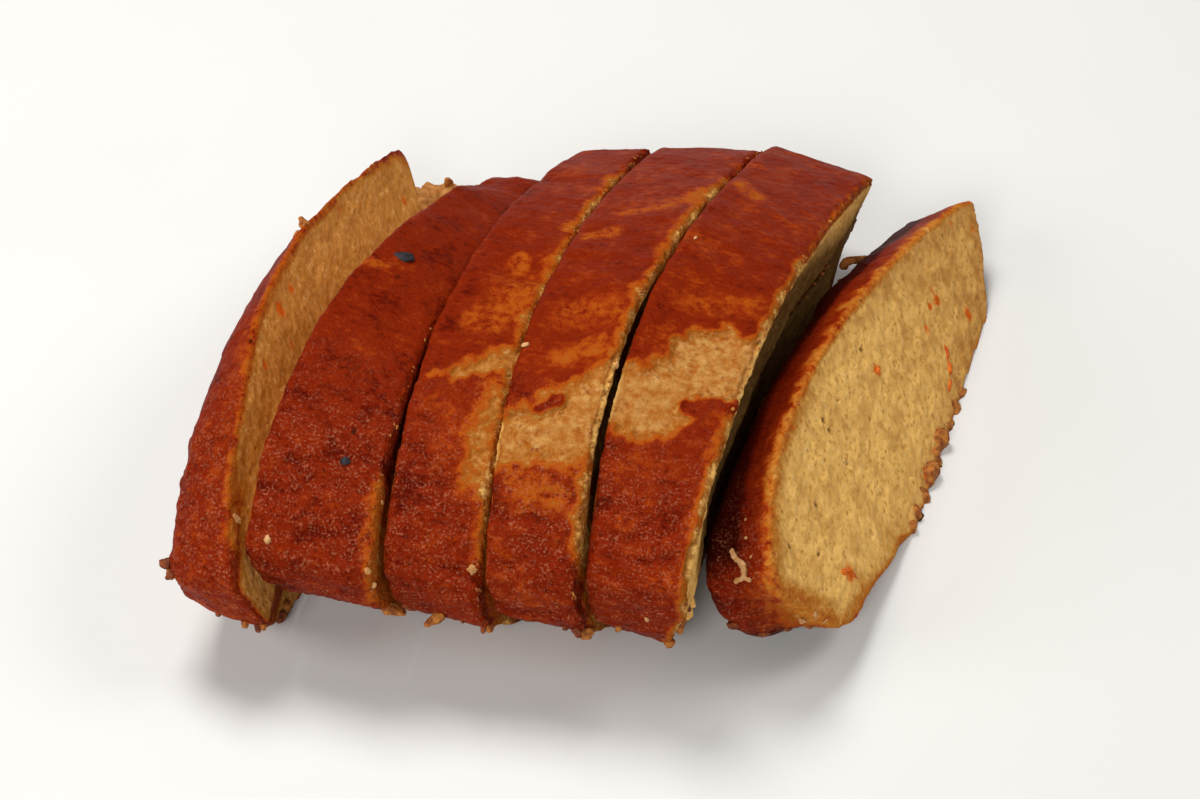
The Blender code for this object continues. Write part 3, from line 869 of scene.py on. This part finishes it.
# teeth and drops at the torn foot: root x, y, z, how far the tip reaches x, y, z, width, finish
footBits = [(-48.1, -53.8, 15.2, -1.6, -0.2, 0.2, 1.7, "brown"),
            (-49.4, -54.0, 15.4, 0.3, -1.4, -1.8, 1.3, "golden"),
            (-47.0, -55.0, 14.6, -1.0, -0.8, -0.3, 1.2, "brown"),
            (-36.9, -56.2, 8.7, 0.2, -0.6, -0.8, 1.1, "golden"),
            (-34.9, -56.3, 8.9, 0.2, -0.8, -1.1, 1.1, "brown"),
            (-33.4, -56.0, 8.9, 0.3, -0.5, -0.7, 1.0, "golden"),
            (-40.8, -56.0, 9.0, 0.0, -0.4, -0.5, 1.0, "brown"),
            (-34.9, -47.4, 2.4, 0.1, -1.3, -1.0, 2.0, "brown"),
            (-34.6, -46.0, 2.8, 0.9, -0.6, -0.8, 1.6, "golden"),
            (-18.4, -50.6, 11.3, 3.6, 0.5, -0.7, 1.9, "golden"),
            (-16.2, -50.4, 11.2, 2.0, 0.2, -0.9, 1.3, "brown"),
            (-10.1, -50.0, 11.5, -2.3, -1.8, -1.2, 1.6, "golden"),
            (-4.5, -49.3, 10.4, 0.1, -0.7, -1.0, 0.9, "brown"),
            (-3.6, -48.8, 9.9, 0.3, -0.8, -0.9, 1.2, "golden"),
            (-7.2, -50.3, 11.6, 0.0, -0.3, -0.4, 0.8, "brown"),
            (9.2, -46.2, 9.8, 0.5, -1.2, -1.0, 2.4, "golden"),
            (8.1, -48.2, 12.2, 0.9, -0.8, -1.2, 1.4, "brown"),
            (6.7, -48.0, 11.9, 0.1, -0.5, -0.6, 0.9, "brown"),
            (13.4, -46.0, 11.7, 0.1, -0.6, -0.8, 1.0, "golden"),
            (20.2, -43.6, 8.2, 0.3, -0.6, -0.9, 1.6, "golden"),
            (22.6, -43.1, 13.6, -0.1, -0.4, -3.9, 1.7, "golden"),
            (23.2, -43.0, 16.2, 0.6, 0.1, -1.6, 1.1, "brown"),
            (28.4, -38.3, 10.0, 0.3, -0.6, -0.8, 2.1, "brown"),
            (31.6, -37.2, 7.6, 0.1, -0.4, -0.3, 1.9, "brown"),
            (35.4, -36.6, 7.0, 0.1, -0.3, -0.4, 1.4, "brown"),
            (38.0, -35.8, 7.2, 0.1, -0.4, -0.2, 1.7, "golden"),
            (-47.5, 3.6, 29.6, -1.6, 1.2, 0.5, 1.5, "golden"),
            (-47.9, 1.8, 29.2, -0.9, -0.6, -0.9, 1.1, "golden")]
for finish in ("golden", "brown"):
    places = []
    for x, y, z, dx, dy, dz, width, kind in footBits:
        if kind == finish:
            spot, out = onBread(x, y, z, 0.25)
            tip = Vector((dx, dy, dz))
            size = (width, width * 0.8, tip.length * 0.85 + 0.2)
            places.append((spot, size, tip.to_track_quat("Z", "Y").to_euler()[:]))
    layBits(finish + "Teeth", shards, places, bits[finish], 0.16)

# rounded bumps of crust along the last slice's right foot: y, size
bumpsAtFoot = [(24.0, 2.6), (20.0, 3.4), (16.2, 3.0), (12.0, 3.8), (8.2, 3.2), (4.2, 3.8), (0.4, 3.2),
               (-3.4, 3.4), (-7.2, 2.4)]
places = []
for y, size in bumpsAtFoot:
    spot, out = onBread(54, y, 1.8, 0.36 * size)
    places.append((spot, (size, size * 1.15, size * 0.9), anyTurn()))
layBits("footBumps", seeds, places, bits["golden"], 0.2)

# a torn lump behind the heel: x, y, z, width, depth, height
lump = [(-42.2, 44.6, 2.9, 4.4, 4.0, 6.0), (-43.6, 43.6, 2.4, 3.4, 3.6, 5.0),
        (-40.2, 45.2, 3.0, 4.2, 4.0, 6.4), (-38.0, 44.6, 2.8, 4.4, 4.0, 6.0),
        (-36.4, 43.6, 2.2, 3.6, 3.6, 4.6), (-41.0, 42.2, 2.2, 4.4, 4.0, 4.4)]
lumpRoots = [(-43.2, 42.6, 3.4), (-41.6, 41.8, 3.2)]
places = [(Vector(spot[:3]) * mm, spot[3:], anyTurn()) for spot in lump]
for x, y, z in lumpRoots:
    # it hangs on to the nearest slice by these
    start, (spot, out) = Vector((x, y, z)) * mm, onBread(x, y, z)
    for share in (0.25, 0.5, 0.75, 1.0):
        places.append((start.lerp(spot, share), (3.2, 3.2, 3.2), anyTurn()))
layBits("tornLump", seeds, places, bits["tan"], 0.3)

# a crumb stuck on the lump, and crumbs wedged between the last two slices: x, y, z, width, depth, height
wedged = [(-39.6, 45.6, 5.9, 1.5, 1.5, 2.4), (28.4, 42.6, 6.6, 2.2, 1.4, 1.0),
          (29.8, 43.2, 6.8, 2.4, 1.5, 1.1), (27.6, 41.8, 6.2, 1.6, 1.4, 1.4),
          (31.0, 43.6, 6.4, 1.8, 1.6, 1.4), (28.0, 40.0, 3.2, 2.2, 3.0, 2.6),
          (29.4, 41.0, 1.8, 2.6, 2.8, 3.0)]
places = [(Vector(spot[:3]) * mm, spot[3:], (0.2, 0.1, 0.4)) for spot in wedged]
layBits("wedgedCrumbs", seeds, places, bits["golden"], 0.25)

# the pale torn corner of the fifth slice: x, y, z, width, depth, height
corner = [(22.8, -42.9, 18.6, 1.1, 1.2, 3.2), (22.7, -42.9, 16.2, 1.3, 1.2, 3.0),
          (22.6, -42.9, 14.0, 1.1, 1.2, 2.6)]
places = [(Vector(spot[:3]) * mm, spot[3:], (0, 0, 0.3)) for spot in corner]
layBits("tornCorner", seeds, places, loafCrumb, 0.2)

for seed in seeds + tinySeeds + shards:
    bpy.data.objects.remove(seed)


# floor, light and camera
studio = {
    "floor": (0.64, 0.636, 0.625),
    "target": (0.00128, -0.00984, 0.018),
    "camera": (0.07153, -0.2703, 0.2785),
    "lens": 78.0,
    # name, degrees round from the front to the right, degrees up, watts
    "lamps": [("key", 225, 60, 4.9), ("left", 300, 30, 2.15),
              ("front", 0, 34, 3.4), ("right", 120, 45, 1.9)],
    "lampWidth": 0.34,
    "lampDistance": 0.75,
    "lampColour": (1, 0.985, 0.96),
    "world": 0.05,
}


def paleFloor():
    bpy.ops.object.select_all(action="DESELECT")
    bpy.ops.mesh.primitive_plane_add(size=4)
    floor = bpy.context.object
    floor.name = "floor"
    material, tree, shader = newMaterial("floorPaint", 0.7)
    coords = node(tree, "ShaderNodeTexCoord", (-900, 0)).outputs["Object"]
    colour = rampNode(tree, (-400, 0), noiseNode(tree, coords, (-700, 0), 40, 2), (
        (0.3, tuple(v * 0.985 for v in studio["floor"])), (0.7, studio["floor"])))
    tree.links.new(colour, shader.inputs["Base Color"])
    floor.data.materials.append(material)


def softLight(name, turn, high, power):
    turn, high = radians(turn), radians(high)
    way = Vector((sin(turn) * cos(high), -cos(turn) * cos(high), sin(high)))
    place = Vector(studio["target"]) + way * studio["lampDistance"]
    bpy.ops.object.light_add(type="AREA", location=place)
    lamp = bpy.context.object
    lamp.name = name
    lamp.data.shape = "DISK"
    lamp.data.size = studio["lampWidth"]
    lamp.data.energy = power
    lamp.data.color = studio["lampColour"]
    lamp.rotation_euler = way.to_track_quat("Z", "Y").to_euler()


paleFloor()
for name, turn, high, power in studio["lamps"]:
    softLight(name, turn, high, power)
print("floor and lamps placed")

world = bpy.data.worlds.new("studio")
bpy.context.scene.world = world
world.use_nodes = True
world.node_tree.nodes["Background"].inputs["Color"].default_value = (1.0, 0.99, 0.97, 1)
world.node_tree.nodes["Background"].inputs["Strength"].default_value = studio["world"]

bpy.ops.object.camera_add(location=studio["camera"])
camera = bpy.context.object
way = Vector(studio["target"]) - Vector(studio["camera"])
camera.rotation_euler = way.to_track_quat("-Z", "Y").to_euler()
camera.data.lens = studio["lens"]
camera.data.sensor_width = 36
bpy.context.scene.camera = camera
bpy.context.scene.view_settings.view_transform = "Standard"
print("camera placed")
